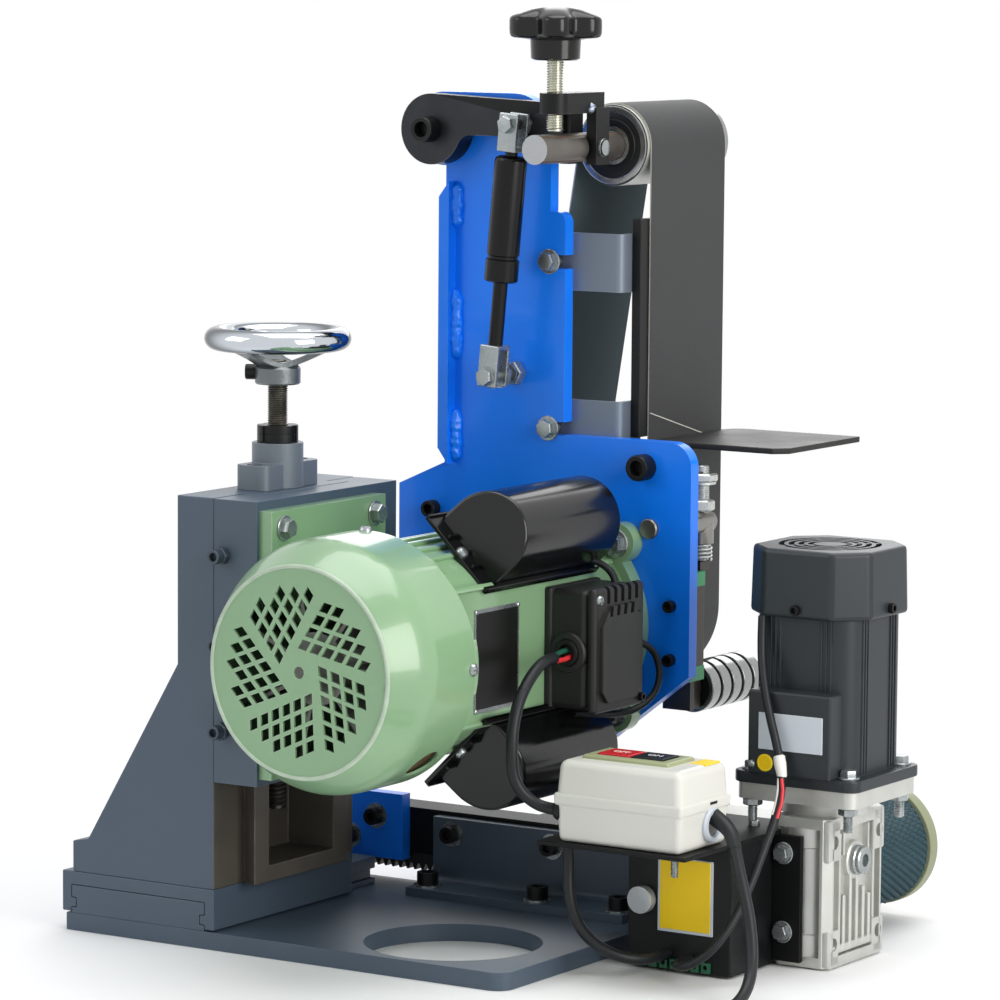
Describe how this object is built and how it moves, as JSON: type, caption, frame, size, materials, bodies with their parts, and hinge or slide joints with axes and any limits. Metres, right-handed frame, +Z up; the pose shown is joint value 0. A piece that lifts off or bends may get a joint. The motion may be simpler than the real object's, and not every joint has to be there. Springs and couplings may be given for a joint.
{
  "type": "belt polishing machine for tube",
  "caption": "Bench belt sander for round tube: motor-driven abrasive belt head on a screw-raised dovetail column, rubber feed roller on a rack slide, sprung support roller, switch box.",
  "frame": {"origin": "middle of the base plate's underside", "axes": "+X along the base plate towards the feed unit, +Y along the motor shaft towards the belt, +Z up"},
  "size_m": [0.6301, 0.546, 0.63],
  "materials": {
    "grey_paint": "satin enamel",
    "blue_paint": "gloss enamel",
    "motor_paint": "satin enamel",
    "black_steel": "black oxide",
    "bright_steel": "turned",
    "chrome": "polished",
    "aluminium": "cast and machined",
    "black_plastic": "moulded",
    "red_plastic": "moulded",
    "silver_plastic": "moulded",
    "cream_plastic": "moulded",
    "teal_rubber": "knurled",
    "feed_core": "turned",
    "abrasive": "coated cloth",
    "cable": "cable sheath"
  },
  "bodies": {
    "base": {"base_plate": "grey_paint", "cross_way": "grey_paint", "angle_bracket": "black_steel", "slide_bed": "black_steel", "bed_end_plate": "blue_paint", "base_screws": "black_steel"},
    "column": {"column_foot": "grey_paint", "column": "grey_paint", "bearing_block": "grey_paint"},
    "lead_screw": {"lead_screw": "bright_steel", "lock_nuts": "black_steel", "handwheel": "chrome"},
    "carriage": {"carriage": "grey_paint", "motor_frame": "motor_paint", "motor_flange": "motor_paint", "fan_cover": "motor_paint", "terminal_box": "motor_paint", "terminal_lid": "motor_paint", "capacitor_covers": "motor_paint", "capacitor_leads": "cable", "head_plate": "blue_paint", "platen": "bright_steel", "platen_brackets": "black_steel", "work_table": "bright_steel", "guide_block": "black_steel", "gas_rod": "bright_steel", "abrasive_belt": "abrasive", "socket_screws": "black_steel", "hex_bolts": "bright_steel", "motor_cable": "cable"},
    "rotor": {"motor_shaft": "bright_steel", "drive_wheel": "aluminium"},
    "arm": {"tension_arm": "black_steel"},
    "gas_cylinder": {"gas_cylinder": "black_steel"},
    "idler_axle": {"idler_axle": "bright_steel"},
    "idler": {"idler_roller": "aluminium"},
    "tracking_rod": {"tracking_rod": "bright_steel"},
    "tracking_knob": {"tracking_knob": "black_plastic"},
    "support": {"support_slide": "bright_steel", "support_spring": "bright_steel"},
    "support_rollers": {"support_bearings": "bright_steel"},
    "feed": {"rack_bar": "bright_steel", "feed_bracket": "black_steel", "gearbox": "aluminium", "gear_motor": "black_steel", "speed_controller": "aluminium", "switch_box": "cream_plastic", "switch_lid": "cream_plastic", "control_cable": "cable", "gear_cable": "cable", "mains_lead": "cable", "lead_coil": "cable", "mains_plug": "black_plastic"},
    "feed_roller": {"feed_wheel": "feed_core", "feed_tyre": "teal_rubber"},
    "worm": {"worm_shaft": "bright_steel"},
    "pinion": {"pinion": "bright_steel"},
    "on_button": {"on_button": "black_plastic"},
    "off_button": {"off_button": "red_plastic"},
    "speed_knob": {"speed_knob": "silver_plastic"}
  },
  "joints": [
    {"name": "column_slide", "type": "slide", "parent": "base", "child": "column", "axis": [0, 1, 0], "range_m": [-0.025, 0.012], "deforming": ["motor_cable"]},
    {"name": "screw_turn", "type": "hinge", "parent": "column", "child": "lead_screw", "pos_m": [-0.06, -0.0325, 0.3], "axis": [0, 0, 1], "range_deg": [-2, 5402]},
    {"name": "carriage_slide", "type": "slide", "parent": "column", "child": "carriage", "axis": [0, 0, 1], "range_m": [-0.045, 0]},
    {"name": "motor_turn", "type": "hinge", "parent": "carriage", "child": "rotor", "pos_m": [0.072, 0, 0.2095], "axis": [0, 1, 0], "continuous": true},
    {"name": "arm_swing", "type": "hinge", "parent": "carriage", "child": "arm", "pos_m": [-0.02, 0.1, 0.546], "axis": [0, 1, 0], "range_deg": [0, 7.5], "stiffness_Nm_per_rad": 12, "springref_deg": -34.38, "deforming": ["abrasive_belt"]},
    {"name": "gas_slide", "type": "slide", "parent": "carriage", "child": "gas_cylinder", "axis": [-0.0905, 0, -0.9959], "range_m": [-0.0002, 0.01041]},
    {"name": "axle_tilt", "type": "hinge", "parent": "arm", "child": "idler_axle", "pos_m": [0.098, 0.105, 0.5365], "axis": [1, 0, 0], "range_deg": [-1.96, 1.96]},
    {"name": "idler_turn", "type": "hinge", "parent": "idler_axle", "child": "idler", "pos_m": [0.098, 0.2, 0.5365], "axis": [0, 1, 0], "continuous": true},
    {"name": "tracking_slide", "type": "slide", "parent": "arm", "child": "tracking_rod", "axis": [0, 0, 1], "range_m": [-0.0013, 0.0013]},
    {"name": "tracking_turn", "type": "hinge", "parent": "tracking_rod", "child": "tracking_knob", "pos_m": [0.098, 0.0665, 0.61], "axis": [0, 0, 1], "range_deg": [-269, 269]},
    {"name": "support_slide", "type": "slide", "parent": "carriage", "child": "support", "axis": [0, 0, 1], "range_m": [0, 0.003], "stiffness_N_per_m": 2500, "springref_m": -0.008, "deforming": ["support_spring"]},
    {"name": "support_turn", "type": "hinge", "parent": "support", "child": "support_rollers", "pos_m": [0.156, 0.19, 0.163], "axis": [0, 1, 0], "continuous": true},
    {"name": "feed_slide", "type": "slide", "parent": "base", "child": "feed", "axis": [1, 0, 0], "range_m": [-0.01, 0.04]},
    {"name": "pinion_turn", "type": "hinge", "parent": "base", "child": "pinion", "pos_m": [0.06, 0.125, 0.014], "axis": [0, 1, 0], "range_deg": [-72, 287]},
    {"name": "feed_turn", "type": "hinge", "parent": "feed", "child": "feed_roller", "pos_m": [0.256, 0.19, 0.051], "axis": [0, 1, 0], "continuous": true},
    {"name": "worm_turn", "type": "hinge", "parent": "feed", "child": "worm", "pos_m": [0.296, 0.099, 0.1], "axis": [0, 0, 1], "continuous": true},
    {"name": "on_press", "type": "slide", "parent": "feed", "child": "on_button", "axis": [0, 0, 1], "range_m": [-0.003, 0], "stiffness_N_per_m": 500, "springref_m": 0.004},
    {"name": "off_press", "type": "slide", "parent": "feed", "child": "off_button", "axis": [0, 0, 1], "range_m": [-0.003, 0], "stiffness_N_per_m": 500, "springref_m": 0.004},
    {"name": "speed_turn", "type": "hinge", "parent": "feed", "child": "speed_knob", "pos_m": [0.214, 0, 0.047], "axis": [0, 1, 0], "range_deg": [0, 270]}
  ],
  "couplings": [
    {"joint": "screw_turn", "follows": "carriage_slide", "rad_per_m": -2094.4},
    {"joint": "gas_slide", "follows": "arm_swing", "m_per_rad": 0.076454},
    {"joint": "axle_tilt", "follows": "tracking_slide", "rad_per_m": -25.974},
    {"joint": "tracking_turn", "follows": "tracking_slide", "rad_per_m": 3590.4},
    {"joint": "idler_turn", "follows": "motor_turn", "ratio": 1.8924},
    {"joint": "pinion_turn", "follows": "feed_slide", "rad_per_m": 125},
    {"joint": "worm_turn", "follows": "feed_turn", "ratio": 30}
  ]
}
